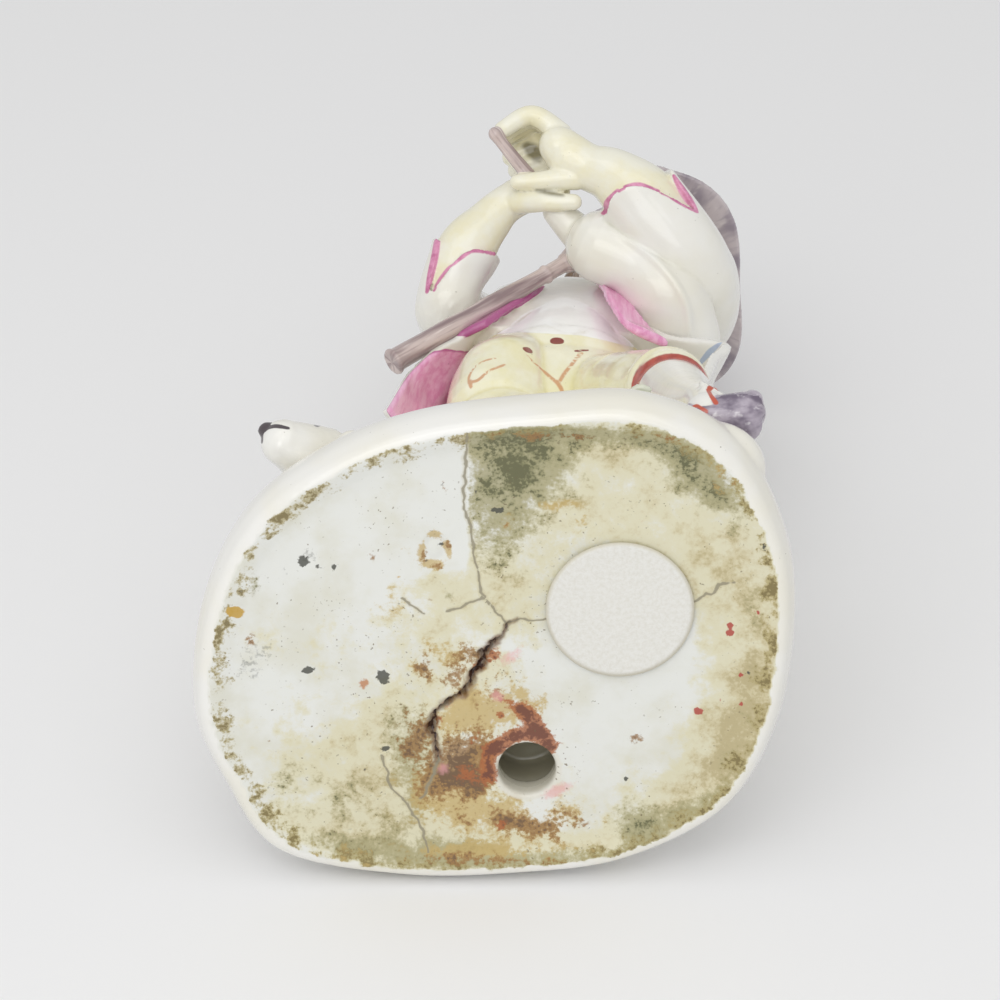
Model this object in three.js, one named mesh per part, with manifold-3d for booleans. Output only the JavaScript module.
// Porcelain shepherd figurine: a bagpiper in a wide hat, leaning on a tree stump beside his dog.
// Millimetres. The front faces -Y, the figure's left hand side is +X, and it stands on z = 0.

import * as THREE from 'three';
import { LoftGeometry } from 'three/addons/geometries/LoftGeometry.js';
import { mergeVertices } from 'three/addons/utils/BufferGeometryUtils.js';
import Module from 'manifold-3d';

const wasm = await Module();
wasm.setup();

// Mound: the foot's outline, and the height and scale of each level of its side and top.
// The foot is the common 80 mm of such groups, four times the width of the label under it.
const MOUND_CENTRE = [0, 1];
const FOOT_OUTLINE = [
  [40.1, -3], [38.2, 13], [31.6, 25.8], [18, 33.7], [3, 36], [-13, 36.2], [-29.5, 32.5], [-36.5, 22],
  [-40.4, 10.5], [-38.5, -5.5], [-32, -18.5], [-21, -27], [-9, -31.6], [6, -33.7], [19.5, -34.1],
  [31.5, -28.3], [38.2, -16],
];
const OUTLINE_POINTS = 30;
const MOUND_LEVELS = [
  [0, 0.985], [0.8, 1.01], [3.5, 1.035], [6.6, 1.03], [9, 0.985], [10.8, 0.88], [12.6, 0.6], [13.7, 0.2],
];

// Underside: a shallow hollow inside the foot rim, the vent hole and the little chamber above it
const HOLLOW_LEVELS = [[-1, 0.925], [0, 0.925], [0.7, 0.89], [1, 0.78]];
const HOLLOW_DEPTH = 1;
const VENT = { x: 4.6, y: 20, radius: 4.1, floor: 5.2, chamberRadius: 6.4, chamberTop: 10.4 };
const CRACK_DEPTH = 2.2;
const CRACK = [
  [3.4, -3.4, 0.3], [1.9, -2.4, 0.7], [1.2, -1, 0.8], [-1.4, 1.6, 1.2], [-1.5, 3.6, 1.5], [-3, 5, 1.6],
  [-3.9, 7.8, 1.1], [-7.2, 9.7, 1], [-8.8, 13.3, 1.2], [-8.1, 16.7, 0.9], [-7.7, 18.8, 0.4],
];
const LABEL = { x: 17.3, y: -5, radius: 10.2, thickness: 0.12, gap: 0.3 };

// Stump and legs: horizontal rings as height, centre x, centre y, half width, half depth
const STUMP_LEVELS = [
  [8, 10, 6, 14, 12], [14, 10, 6.2, 11, 10], [24, 9.8, 5.8, 9, 8.8], [40, 9.6, 5, 8.2, 8.2],
  [56, 9.6, 4.4, 8.4, 7.8], [72, 9.6, 3.4, 9, 7],
];
const STUMP_RIDGES = 5;
const PELVIS_LEVELS = [
  [64, 9.8, -0.6, 8, 6.4], [68, 9.8, -1, 12.4, 8.4], [72, 9.8, -1.2, 14.6, 9.4], [78, 9.8, -1.3, 15.2, 10.1],
  [84.5, 9.8, -1.3, 14.4, 10],
];
const WAISTCOAT_LEVELS = [
  [82, 9.8, -2.3, 12, 8], [84.4, 9.8, -2.5, 13.6, 9.3], [90, 10, -2.7, 13.2, 9.6],
  [100, 10.8, -2.4, 12.2, 9.1], [110, 11.6, -2, 12, 8.5], [117, 12.6, -0.8, 10, 6.6],
  [122.5, 14, 0.4, 5, 4.8],
];
// Limbs: points along the middle, each with its radius
const LEFT_THIGH = [[16.5, -2, 77, 8.4], [21.4, -10.4, 61.4, 7.3], [25.3, -17.8, 48, 5.9]];
const LEFT_CALF = [
  [25.3, -17.8, 48.4, 5.2], [26.6, -20, 38.6, 5.2], [27.6, -23.4, 29, 4.2], [28.9, -27.9, 19, 2.8],
  [29.3, -29, 13, 3],
];
const RIGHT_THIGH = [[3, -1, 77, 8.7], [0.8, -4.2, 61, 7.5], [-0.9, -7.4, 48, 5.9]];
const RIGHT_CALF = [
  [-0.9, -7.2, 48.4, 5.2], [-1, -7.2, 38.6, 5.2], [-1.3, -8, 29, 4.2], [-1.6, -9.4, 19, 2.8],
  [-1.7, -9.8, 14, 3],
];
const LEFT_SHOE = [[27.4, -28.2, 12.2, 2.6], [30.6, -28.6, 12.4, 3], [34.7, -28.5, 12.5, 3.6]];
const RIGHT_SHOE = [[-1.5, -7.8, 14.6, 2.7], [-2.2, -12.6, 14.7, 3.1], [-3.2, -18.2, 14.2, 3.1]];
const SHOE_HEIGHT = 0.82;

// Sleeves and arms
const LEFT_SLEEVE = [
  [26.6, 2, 115, 7.2], [31, -4.6, 108, 7.1], [32.1, -12, 101.8, 6.6], [28.8, -18.6, 100, 6.5],
  [22.4, -27.4, 102.6, 6.8],
];
const RIGHT_SLEEVE = [
  [-0.6, 2, 115.6, 6.8], [-4.4, -3.4, 106.6, 6.3], [-7.1, -9.6, 98.6, 5.5], [-6.9, -13.6, 99.4, 4.9],
  [-4.4, -18.2, 103.4, 5.6],
];
const CUFF_NOTCHES = [
  [[31.6, -24.4, 103.2, 0.9], [27, -31, 104.8, 2.6]],
  [[-9.6, -15.6, 101, 1], [-8.6, -18.8, 103.6, 2]],
];
const LEFT_FOREARM = [
  [29, -21.6, 102.8, 4.8], [23.5, -27, 104.4, 4.6], [18.4, -29.2, 106, 3.9], [14.8, -30.2, 107, 3.4],
  [11.6, -32, 108, 3.6],
];
const RIGHT_FOREARM = [
  [-6.4, -14.6, 100.6, 4], [-3.6, -18.8, 104.6, 3.8], [-0.6, -21.8, 106.8, 3.3], [1.4, -23.6, 108, 3],
  [4, -25, 108.8, 3],
];

// Hands: a finger is a bent limb, and each next finger steps on by the spread
const FINGER_RADIUS = 1.3;
const LEFT_FINGER = [[10.4, -34.9, 110.4], [5.8, -37.5, 111.6], [1.2, -35.7, 109.8]];
const LEFT_SPREAD = [0.7, 1.8, 1.6];
const LEFT_THUMB = [[12.8, -29.4, 105.4], [8.4, -29.2, 104.8], [3.6, -28.7, 105.2]];
const RIGHT_FINGER = [[4.4, -26.6, 110.4], [8.6, -28.2, 110.6], [10.8, -26.2, 107.8]];
const RIGHT_SPREAD = [-0.9, -1.6, 1.6];
const RIGHT_THUMB = [[3.8, -25, 106.4], [7.8, -26, 103.7], [12.4, -26.2, 103]];

// Bagpipes
const BAG = [
  [16.4, -20.4, 103, 4.6], [20, -18.4, 102, 6], [24.6, -15.4, 100, 6.7], [28.4, -10.6, 97.4, 6.3],
  [30.2, -5.5, 96, 4.6],
];
const BAG_SEAM = [
  [15.8, -21.4, 99.2, 0.9], [20.6, -21.2, 96.2, 1], [25.2, -18.2, 93.6, 1], [29.2, -13.4, 91.6, 0.9],
];
const BAG_NECK = [[16, -18.4, 103.6, 4.2], [12.6, -21, 104.6, 2.9], [9.8, -23.6, 105.6, 2.3]];
const CHANTER = [
  [10.4, -23.4, 105.6, 1.5], [3.8, -31, 107.2, 1.5], [0.9, -34.5, 108, 1.6], [-0.1, -35.8, 108.3, 1.8],
];
const DRONE = [
  [12.4, -16.6, 103.4, 2], [10.6, -16.1, 101.9, 1.35], [7, -15, 98.9, 1.3], [2.6, -13.8, 95.3, 1.55],
  [-4, -11.9, 90, 1.75], [-12, -9.6, 83.4, 1.9], [-15.8, -8.4, 80.3, 2.05],
];
const BLOWPIPE = [[20.4, -16, 105.6, 1.7], [19.6, -14.2, 117, 1.2], [18.6, -11.4, 126.2, 1]];

// Coat: at each height, the line of the cloth from the right front edge round the back to the left front edge
const COAT_THICKNESS = 1.5;
const COAT_FLUTES = 4;
const COAT_FLUTE_DEPTH = 1;
const COAT_TOP = { z: 120.6, x: 12.8, y: 0.6, scale: 0.62 };
const COAT_WAIST = 89;
const SKIRT_TUCK = 0.8;
const COAT_LEVELS = [
  [117, [7, -7.4], [0.6, -6.2], [-1.6, 0], [2.4, 6.2], [12, 8.4], [21.6, 6.8], [25.8, 0.4], [23, -6],
    [17.6, -7.6]],
  [110, [6.8, -10.5], [0, -8.4], [-2.6, -0.6], [1.2, 7.4], [11.6, 9.9], [21, 8.2], [25.8, 0.6], [23.2, -7.8],
    [17, -10.9]],
  [103, [5.2, -11.6], [-0.8, -8.8], [-3.2, -0.8], [0.8, 7.9], [11.2, 10.3], [20.8, 8.6], [25.6, 0.6],
    [23.4, -8.4], [17.6, -11.4]],
  [96, [1.8, -12], [-2.4, -8], [-4.3, -0.6], [0.4, 8], [10.8, 10.4], [20.6, 8.8], [26, 0.6], [25, -7],
    [20.6, -11]],
  [89, [-2.6, -11], [-5, -6], [-5.8, 0.4], [-0.4, 8.4], [10.4, 10.6], [20.6, 9], [27.2, 2.4], [28, -4.4],
    [25.4, -9.6]],
  [84, [-8.4, -9.6], [-7.4, -3.6], [-6.8, 2.4], [-0.8, 9.6], [10.2, 12], [21, 10], [29.2, 4.4], [32.6, -2.8],
    [35.4, -10.2]],
  [77, [-12.8, -8.5], [-9.8, -2.6], [-7.4, 3.8], [-0.8, 11], [10, 13.4], [21.6, 11.2], [29, 5], [31, -2.6],
    [33.6, -10.8]],
  [69, [-14.6, -8.4], [-11, -2.4], [-8, 4.6], [-1, 12.2], [10, 14.6], [22, 12.2], [28.6, 5.8], [30, -2.2],
    [31.9, -11.2]],
  [61.5, [-16.2, -8.5], [-12.2, -2.2], [-8.8, 5.4], [-1.2, 13.2], [10, 15.6], [22.2, 12.8], [28, 6.2],
    [29, -2], [30.8, -11.4]],
];
const LAPEL_WIDTH = 3.6;
const LAPEL_THICKNESS = 1.1;
const LEFT_LAPEL = [[16.6, -11.8, 106], [18.6, -11.9, 100], [21.4, -11.6, 93], [25.2, -10.2, 86]];
const RIGHT_LAPEL = [[6.6, -11.8, 106], [4.2, -12.2, 100], [0.8, -12.1, 93], [-2.8, -11, 87]];

// Head, in its own frame: the middle of the skull is the origin and the face looks along -Y
const HEAD = { at: [19.6, -0.6, 131.6], roll: 17, turn: 16, nod: 4 };
const NECK = [[13.6, 0.6, 118, 5], [16, 0, 124, 4], [17.8, -0.2, 128, 4]];
const HAIR_LOCKS = 7;
const HAIR_LEVELS = [
  [-8.6, 0, 2.4, 5, 4.6], [-6.4, 0, 2, 7.8, 6.8], [-1, 0, 1.6, 7.9, 7.6], [5, 0, 1, 7.4, 7.8],
];
const CROWN_LEVELS = [
  [4.4, 0.2, 0.8, 8.4, 8.9], [7, 0.2, 0.8, 8.2, 8.7], [10.6, 0.2, 0.8, 7.6, 8], [12.8, 0.2, 0.8, 5.6, 6],
  [13.7, 0.2, 0.8, 2.6, 2.8],
];
const BRIM = {
  z: 5.2, inner: 7, wide: 13.6, corner: 3.2, narrow: 9.4, droop: -3, raised: 74, thickness: 1.3,
  flatMiddle: -18, flatHalf: 62, turnedFrom: 100,
};

// Dog lying at the figure's right, its muzzle over the front rim
const DOG_BODY = [
  [-14.6, 15, 14.2, 5.6], [-16.4, 8, 15.4, 6.8], [-18.8, -1, 15.6, 6.2], [-21.2, -9, 16, 5.6],
  [-23, -14.6, 16.6, 4.8],
];
const DOG_HEAD = [[-24.2, -20.2, 16.9, 4.9], [-27.2, -22.6, 15.4, 3.9], [-29, -23.9, 14.6, 3.3]];
const DOG_LEGS = [
  [[-24, -8, 13.4, 2.6], [-27.2, -12.4, 11.6, 2.1], [-28, -16.6, 11, 2.1]],
  [[-18, -12, 13.4, 2.6], [-18.6, -18, 11.4, 2.1], [-19.4, -23, 11, 2.1]],
  [[-21, 15, 13.4, 4.6], [-24.6, 9, 12.4, 3], [-26.4, 3, 11.8, 2.1]],
];
const DOG_TAIL = [
  [-13.4, 19, 13.4, 2.1], [-17.4, 23.6, 12.6, 1.8], [-23, 23.8, 12.8, 1.6], [-26.4, 19.6, 13.4, 1.3],
];
const DOG_EARS = [[-20.6, -18.2, 18.6], [-26.2, -15.6, 19]];

// Applied flowers and leaves on the mound: where each stands, and the way a leaf points in degrees
const FLOWERS = [[11.5, -21.5, 11.6], [-4.5, 24.5, 11.4]];
const LEAVES = [
  [7.4, -24, 11.8, 20], [16.4, -21.8, 11.8, 130], [-8.6, 21.4, 12, 200], [18.2, -32.4, 9.6, 10],
];
const PETALS = 5;
const FLOWER_LEVELS = [[0, 1.6], [1.8, 3.2], [2.4, 2.6], [2.1, 1.1], [2.9, 0.6]];

const rad = (degrees) => degrees * Math.PI / 180;
const vec = (p) => new THREE.Vector3(p[0], p[1], p[2] ?? 0);

// A closed geometry as a solid for joining and cutting
function solid(geometry) {
  const plain = new THREE.BufferGeometry();
  plain.setAttribute('position', geometry.attributes.position);
  plain.setIndex(geometry.index);
  const welded = mergeVertices(plain, 1e-4);
  const points = welded.attributes.position;
  const index = new Uint32Array(welded.index.array);
  let volume = 0;
  const [a, b, c] = [new THREE.Vector3(), new THREE.Vector3(), new THREE.Vector3()];
  for (let i = 0; i < index.length; i += 3) {
    a.fromBufferAttribute(points, index[i]);
    b.fromBufferAttribute(points, index[i + 1]);
    c.fromBufferAttribute(points, index[i + 2]);
    volume += a.dot(b.cross(c));
  }
  if (volume < 0) {
    index.reverse();
  }
  return new wasm.Manifold(new wasm.Mesh({ numProp: 3, vertProperties: points.array, triVerts: index }));
}

function fuse(solids) {
  return solids.reduce((sum, next) => sum.add(next));
}

// A solid back as a three.js mesh with its name and colour
function mesh(name, shape, colour, roughness) {
  const data = shape.getMesh();
  const geometry = new THREE.BufferGeometry();
  geometry.setAttribute('position', new THREE.BufferAttribute(data.vertProperties, 3));
  geometry.setIndex(new THREE.BufferAttribute(data.triVerts, 1));
  geometry.computeVertexNormals();
  const material = new THREE.MeshStandardMaterial({ color: colour, roughness, metalness: 0 });
  const part = new THREE.Mesh(geometry, material);
  part.name = name;
  return part;
}

// An ellipsoid, turned about X, Y and Z in degrees
function ball(centre, radii, turn = [0, 0, 0], sides = 10, rings = 7) {
  const geometry = new THREE.SphereGeometry(1, sides, rings);
  geometry.rotateX(Math.PI / 2);
  geometry.scale(...radii);
  geometry.applyMatrix4(new THREE.Matrix4().makeRotationFromEuler(new THREE.Euler(...turn.map(rad))));
  geometry.translate(...centre);
  return geometry;
}

// Horizontal elliptical rings skinned into a column, with an optional ripple round each ring
function column(levels, sides, ripple = () => 1) {
  const sections = levels.map(([z, cx, cy, rx, ry]) => {
    const ring = [];
    for (let i = 0; i < sides; i++) {
      const angle = i / sides * 2 * Math.PI;
      const k = ripple(angle, z);
      ring.push(new THREE.Vector3(cx + rx * k * Math.cos(angle), cy + ry * k * Math.sin(angle), z));
    }
    return ring;
  });
  return new LoftGeometry(sections, { capStart: true, capEnd: true });
}

// A round limb along a smooth path of [x, y, z, radius], with domed ends; flat squashes it upright
function limb(path, sides = 10, { flat = 1, openEnd = false } = {}) {
  const curve = new THREE.CatmullRomCurve3(path.map(vec), false, 'centripetal');
  const overall = vec(path[path.length - 1]).sub(vec(path[0])).normalize();
  const upright = Math.abs(overall.z) > 0.8;
  const across = upright ? new THREE.Vector3(1, 0, 0) : new THREE.Vector3(0, 0, 1);
  const spans = path.length - 1;
  const sections = [];
  const ring = (centre, along, radius) => {
    const up = across.clone().addScaledVector(along, -across.dot(along)).normalize();
    const side = up.clone().cross(along);
    const points = [];
    for (let i = 0; i < sides; i++) {
      const angle = i / sides * 2 * Math.PI;
      const point = centre.clone().addScaledVector(side, radius * Math.cos(angle));
      points.push(point.addScaledVector(up, radius * flat * Math.sin(angle)));
    }
    return points;
  };
  const domeRings = sides > 8 ? [[0.85, 0.5], [0.5, 0.85]] : [[0.7, 0.66]];
  const dome = (centre, along, radius, end) => {
    const rings = domeRings.map(([out, wide]) =>
      ring(centre.clone().addScaledVector(along, end * radius * out), along, radius * wide));
    return end < 0 ? rings : rings.reverse();
  };
  for (let i = 0; i <= spans; i++) {
    const t = i / spans;
    const centre = curve.getPoint(t);
    const along = curve.getTangent(t);
    const radius = path[i][3];
    if (i === 0) {
      sections.push(...dome(centre, along, radius, -1));
    }
    sections.push(ring(centre, along, radius));
    if (i === spans && !openEnd) {
      sections.push(...dome(centre, along, radius, 1));
    }
  }
  return new LoftGeometry(sections, { capStart: true, capEnd: true });
}

// A cloth sheet of even thickness: rows of points, each row along the cloth, the rows down it
function sheet(rows, thickness) {
  const last = rows.length - 1;
  const sections = rows.map((row, j) => {
    const outer = [];
    const inner = [];
    row.forEach((point, i) => {
      const along = row[Math.min(i + 1, row.length - 1)].clone().sub(row[Math.max(i - 1, 0)]);
      const down = rows[Math.min(j + 1, last)][i].clone().sub(rows[Math.max(j - 1, 0)][i]);
      const out = along.cross(down).normalize().multiplyScalar(thickness / 2);
      outer.push(point.clone().add(out));
      inner.unshift(point.clone().sub(out));
    });
    return [...outer, ...inner];
  });
  return new LoftGeometry(sections, { capStart: true, capEnd: true });
}

// A closed band: a four cornered section carried once round, given by its place in the turn
function band(sectionAt, count) {
  const sections = [];
  for (let i = 0; i <= count; i++) {
    sections.push(sectionAt((i % count) / count));
  }
  return new LoftGeometry(sections);
}

// The foot outline at a scale and height
function outlineRing(scale, z, count) {
  const curve = new THREE.CatmullRomCurve3(FOOT_OUTLINE.map(vec), true, 'centripetal');
  return curve.getPoints(count).slice(0, count).map((point) => new THREE.Vector3(
    MOUND_CENTRE[0] + (point.x - MOUND_CENTRE[0]) * scale,
    MOUND_CENTRE[1] + (point.y - MOUND_CENTRE[1]) * scale,
    z,
  ));
}

function outlineLoft(levels, count) {
  const sections = levels.map(([z, scale]) => outlineRing(scale, z, count));
  return new LoftGeometry(sections, { capStart: true, capEnd: true });
}

function mound() {
  const body = solid(outlineLoft(MOUND_LEVELS, OUTLINE_POINTS));
  const ledge = solid(ball([29.9, -23.3, 6.2], [7.4, 6.2, 4.1], [0, 0, 0], 9, 6));
  const rise = solid(ball([-2.4, -13.6, 9.6], [7, 9, 4.2], [0, 0, 0], 8, 5));
  return fuse([body, ledge, rise]);
}

function undersideCuts() {
  const hollow = solid(outlineLoft(HOLLOW_LEVELS, OUTLINE_POINTS));
  const hole = new THREE.CylinderGeometry(VENT.radius, VENT.radius, VENT.floor + 2, 16);
  hole.rotateX(Math.PI / 2);
  hole.translate(VENT.x, VENT.y, VENT.floor / 2);
  const chamber = new THREE.CylinderGeometry(
    VENT.chamberRadius * 0.8, VENT.chamberRadius, VENT.chamberTop - VENT.floor, 10);
  chamber.rotateX(Math.PI / 2);
  chamber.translate(VENT.x, VENT.y - 1.6, (VENT.floor + VENT.chamberTop) / 2);
  const crackRows = CRACK.map(([x, y, width], i) => {
    const before = vec(CRACK[Math.max(i - 1, 0)].slice(0, 2));
    const after = vec(CRACK[Math.min(i + 1, CRACK.length - 1)].slice(0, 2));
    const along = after.sub(before).normalize();
    const side = new THREE.Vector3(-along.y, along.x, 0).multiplyScalar(width / 2);
    const middle = new THREE.Vector3(x, y, 0);
    return [
      middle.clone().add(side),
      new THREE.Vector3(x, y, HOLLOW_DEPTH + CRACK_DEPTH * Math.min(1, width)),
      middle.clone().sub(side),
    ];
  });
  const crack = new LoftGeometry(crackRows, { capStart: true, capEnd: true });
  return fuse([hollow, solid(hole), solid(chamber), solid(crack)]);
}

function stump() {
  const bark = (angle, z) => 1 + 0.07 * Math.cos(STUMP_RIDGES * angle + z / 9);
  const trunk = solid(column(STUMP_LEVELS, 15, bark));
  const stubs = [
    [[15, 8, 44, 3.2], [19, 11, 48, 2.6], [21, 12.6, 50.6, 2.4]],
    [[3, 11, 30, 3], [-0.6, 14, 33, 2.4], [-1.8, 15.2, 35, 2.2]],
  ];
  return fuse([trunk, ...stubs.map((path) => solid(limb(path, 5)))]);
}

function legs() {
  const shapes = [LEFT_THIGH, RIGHT_THIGH, LEFT_CALF, RIGHT_CALF].map((path) => limb(path, 8));
  const shoes = [LEFT_SHOE, RIGHT_SHOE].map((path) => limb(path, 7, { flat: SHOE_HEIGHT }));
  const bows = [
    ball([30.5, -30.8, 16.6], [1.9, 0.8, 1.4], [0, -30, 0], 6, 4),
    ball([28, -29.6, 14.2], [1.9, 0.8, 1.2], [0, 30, 0], 6, 4),
    ball([-1.9, -12.6, 17.2], [2.6, 1.1, 0.8], [0, 0, 0], 6, 4),
  ];
  return fuse([...shapes, ...shoes, ...bows].map(solid));
}

function body() {
  return fuse([
    solid(column(PELVIS_LEVELS, 14)),
    solid(ball([10, 3.4, 73.5], [12.4, 7.8, 8.6], [0, 0, 0], 12, 6)),
    solid(column(WAISTCOAT_LEVELS, 12)),
    solid(limb(NECK, 9)),
  ]);
}

// One level of the coat's cloth, with flutes that deepen towards the hem
function coatRow([z, ...points], count) {
  const curve = new THREE.CatmullRomCurve3(points.map(([x, y]) => new THREE.Vector3(x, y, z)));
  const depth = COAT_FLUTE_DEPTH * THREE.MathUtils.clamp((88 - z) / 24, 0, 1);
  const row = [];
  for (let i = 0; i < count; i++) {
    const u = i / (count - 1);
    const along = curve.getTangent(u);
    const wave = depth * Math.cos(2 * Math.PI * COAT_FLUTES * u) * Math.sin(Math.PI * u);
    const point = curve.getPoint(u);
    row.push(point.add(new THREE.Vector3(-along.y, along.x, 0).multiplyScalar(wave)));
  }
  return row;
}

function lapel(path, towards) {
  const curve = new THREE.CatmullRomCurve3(path.map(vec));
  const rows = curve.getPoints(4).map((point, j) => {
    const width = LAPEL_WIDTH * (1 - 0.5 * j / 4);
    return [0, 1].map((k) => point.clone().add(
      new THREE.Vector3(towards * width * k, width * (k * 0.5 - 0.1), 0)));
  });
  return sheet(rows, LAPEL_THICKNESS);
}

function coat() {
  const upper = COAT_LEVELS.filter(([z]) => z >= COAT_WAIST).map((level) => coatRow(level, 14));
  const top = upper[0].map((point) => new THREE.Vector3(
    COAT_TOP.x + (point.x - COAT_TOP.x) * COAT_TOP.scale,
    COAT_TOP.y + (point.y - COAT_TOP.y) * COAT_TOP.scale,
    COAT_TOP.z,
  ));
  const skirt = COAT_LEVELS.filter(([z]) => z <= COAT_WAIST).map((level) => coatRow(level, 22));
  skirt[0].forEach((point) => {
    point.z += SKIRT_TUCK;
  });
  return fuse([
    solid(new LoftGeometry([top, ...upper], { capStart: true, capEnd: true })),
    solid(sheet(skirt, COAT_THICKNESS)),
    solid(lapel(LEFT_LAPEL, 1)),
    solid(lapel(RIGHT_LAPEL, -1)),
  ]);
}

function hand(palm, palmRadii, palmTurn, finger, spread, thumb) {
  const shapes = [ball(palm, palmRadii, palmTurn, 8, 5)];
  for (let k = 0; k < 4; k++) {
    const radius = FINGER_RADIUS * (k === 3 ? 0.85 : 1);
    const path = finger.map((point) => [...point.map((value, axis) => value + spread[axis] * k), radius]);
    shapes.push(limb(path, 5));
  }
  shapes.push(limb(thumb.map((point, k) => [...point, FINGER_RADIUS * [1.5, 1.2, 1.05][k]]), 6));
  return fuse(shapes.map(solid));
}

// A sleeve that widens to its cuff, which is notched on the elbow side
function sleeve(path, notch) {
  return solid(limb(path, 10, { openEnd: true })).subtract(solid(limb(notch, 5)));
}

function arms() {
  return fuse([
    sleeve(LEFT_SLEEVE, CUFF_NOTCHES[0]),
    sleeve(RIGHT_SLEEVE, CUFF_NOTCHES[1]),
    solid(limb(LEFT_FOREARM, 7)),
    solid(limb(RIGHT_FOREARM, 7)),
    hand([10.7, -32.9, 108.6], [4.1, 3.4, 3.3], [0, 0, 40], LEFT_FINGER, LEFT_SPREAD, LEFT_THUMB),
    hand([4, -25, 108.8], [3.4, 2.8, 2.8], [0, 0, 20], RIGHT_FINGER, RIGHT_SPREAD, RIGHT_THUMB),
  ]);
}

function bagpipes() {
  return fuse([
    solid(limb(BAG, 9)),
    ...[BAG_NECK, CHANTER, DRONE].map((path) => solid(limb(path, 7))),
    ...[BAG_SEAM, BLOWPIPE].map((path) => solid(limb(path, 6))),
  ]);
}

function faceAndHair() {
  const shapes = [
    ball([0, 0.8, 0.6], [7.2, 8.2, 8.4], [0, 0, 0], 10, 7),
    ball([0, -2.4, -3.4], [5.4, 5.6, 6.4], [0, 0, 0], 10, 6),
    ball([0, -6.2, -8], [2, 1.7, 1.5], [0, 0, 0], 6, 4),
    ball([2.8, -5.2, -3], [2.3, 2.2, 2.4], [0, 0, 0], 6, 4),
    ball([-2.8, -5.2, -3], [2.3, 2.2, 2.4], [0, 0, 0], 6, 4),
    ball([0, -6.4, 1.4], [4.2, 1.5, 1.2], [0, 0, 0], 6, 4),
    limb([[0, -7.3, 0.8, 0.7], [0, -8.3, -1, 0.8], [0, -9, -2.6, 1.1]], 5),
  ];
  const locks = (angle) => 1 + 0.12 * Math.cos(HAIR_LOCKS * angle) - (Math.sin(angle) < -0.4 ? 0.2 : 0);
  shapes.push(column(HAIR_LEVELS, 3 * HAIR_LOCKS, locks));
  return shapes;
}

// The hat's brim is flat and wide over the left shoulder, and turned up everywhere else
function hat() {
  const brim = band((turn) => {
    const angle = turn * 2 * Math.PI;
    const off = THREE.MathUtils.euclideanModulo(turn * 360 - BRIM.flatMiddle + 180, 360) - 180;
    const lift = THREE.MathUtils.smoothstep(Math.abs(off), BRIM.flatHalf, BRIM.turnedFrom);
    const slope = rad(THREE.MathUtils.lerp(BRIM.droop, BRIM.raised, lift));
    const wide = BRIM.wide + BRIM.corner * Math.sin(2 * rad(off)) ** 2;
    const width = THREE.MathUtils.lerp(wide, BRIM.narrow, lift);
    const at = (across, off2) => {
      const radius = BRIM.inner + across * Math.cos(slope) - off2 * Math.sin(slope);
      const z = BRIM.z + across * Math.sin(slope) + off2 * Math.cos(slope);
      return new THREE.Vector3(radius * Math.cos(angle), 0.6 + radius * Math.sin(angle), z);
    };
    const half = BRIM.thickness / 2;
    return [at(0, half), at(width, half), at(width, -half), at(0, -half)];
  }, 22);
  return [brim, column(CROWN_LEVELS, 10)];
}

function head() {
  const place = new THREE.Matrix4().makeRotationFromEuler(
    new THREE.Euler(rad(HEAD.nod), rad(HEAD.roll), rad(HEAD.turn), 'YXZ'));
  place.setPosition(vec(HEAD.at));
  return fuse([...faceAndHair(), ...hat()].map((geometry) => solid(geometry.applyMatrix4(place))));
}

function dog() {
  const ears = DOG_EARS.map((place, i) => ball(place, [1.5, 2.6, 3], [20, i ? -30 : 30, -30], 6, 4));
  return fuse([
    limb(DOG_BODY, 8),
    limb(DOG_HEAD, 8),
    ...DOG_LEGS.map((path) => limb(path, 6)),
    limb(DOG_TAIL, 5),
    ...ears,
  ].map(solid));
}

function greenery() {
  const leaves = LEAVES.map(([x, y, z, turn]) => ball([x, y, z], [3.2, 1.7, 1.1], [0, -12, turn], 6, 4));
  const petals = (angle) => 1 + 0.22 * Math.cos(PETALS * angle);
  const flowers = FLOWERS.map(([x, y, z]) =>
    column(FLOWER_LEVELS.map(([up, radius]) => [z + up, x, y, radius, radius]), 3 * PETALS, petals));
  return fuse([...leaves, ...flowers].map(solid));
}

function figurine() {
  const parts = [mound(), stump(), legs(), body(), coat(), arms(), bagpipes(), head(), dog(), greenery()];
  const whole = fuse(parts).subtract(undersideCuts());
  return mesh('shepherd_figurine', whole, '#e6e6df', 0.12);
}

function paperLabel() {
  const disc = new THREE.CylinderGeometry(LABEL.radius, LABEL.radius, LABEL.thickness, 32);
  disc.rotateX(Math.PI / 2);
  disc.translate(LABEL.x, LABEL.y, HOLLOW_DEPTH - LABEL.gap - LABEL.thickness / 2);
  return mesh('paper_label', solid(disc), '#e0dfda', 0.8);
}

const group = new THREE.Group();
group.add(figurine(), paperLabel());

export default group;
